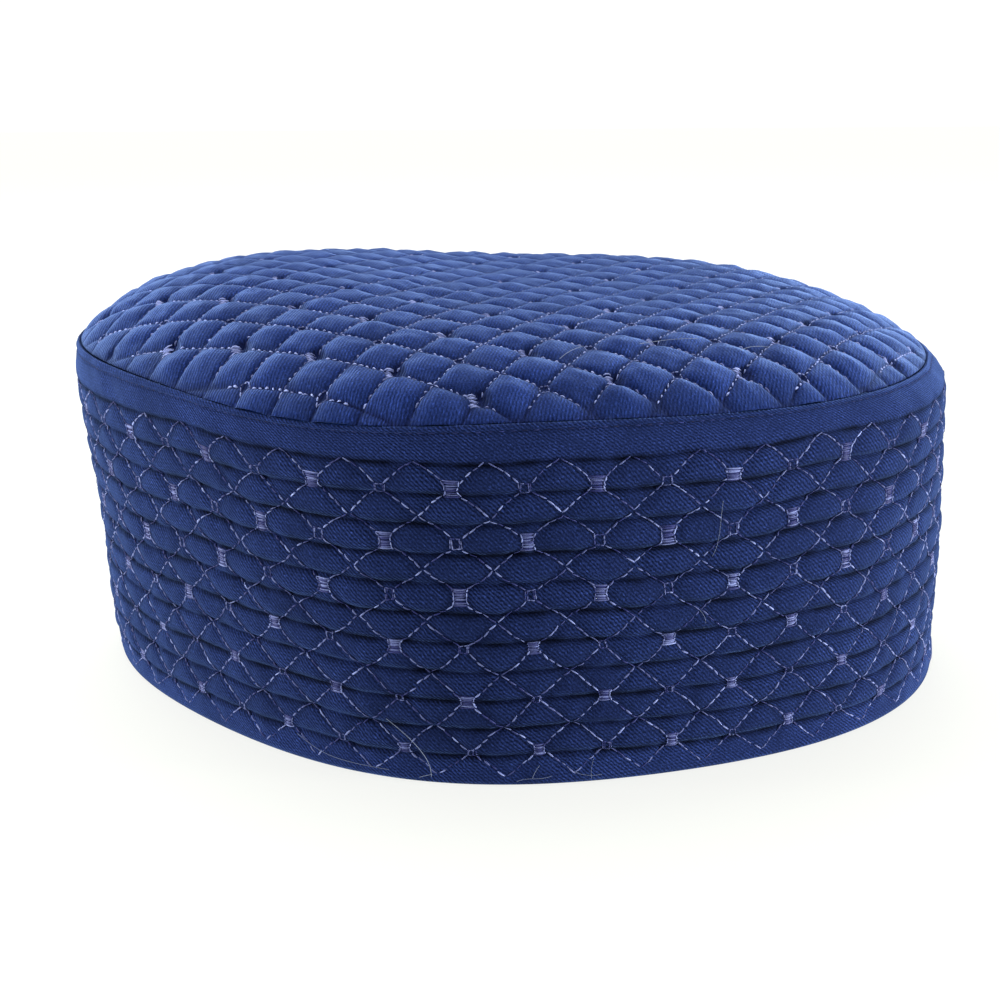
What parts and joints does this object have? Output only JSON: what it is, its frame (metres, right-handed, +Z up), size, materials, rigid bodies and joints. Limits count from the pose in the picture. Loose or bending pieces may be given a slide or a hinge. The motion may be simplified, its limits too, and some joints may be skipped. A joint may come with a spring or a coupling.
{
  "type": "kufi",
  "caption": "Brimless oval cap with a padded crown quilted on a diagonal net and an upright side band of stuffed ribs between sewn channels.",
  "frame": {"origin": "on the surface the cap rests on, under the middle of its length and width", "axes": "+Z up through the crown, +X along the oval's length, +Y towards the back of the view"},
  "size_m": [0.2131, 0.166, 0.0944],
  "materials": {
    "crown_twill": "navy cotton twill, padded and quilted, soft sheen",
    "band_twill": "navy cotton twill over stuffed ribs, diagonal weave",
    "embroidery_thread": "periwinkle rayon embroidery thread with a silky gloss"
  },
  "bodies": {
    "root": {"crown": "crown_twill", "side_band": "band_twill"}
  },
  "joints": []
}
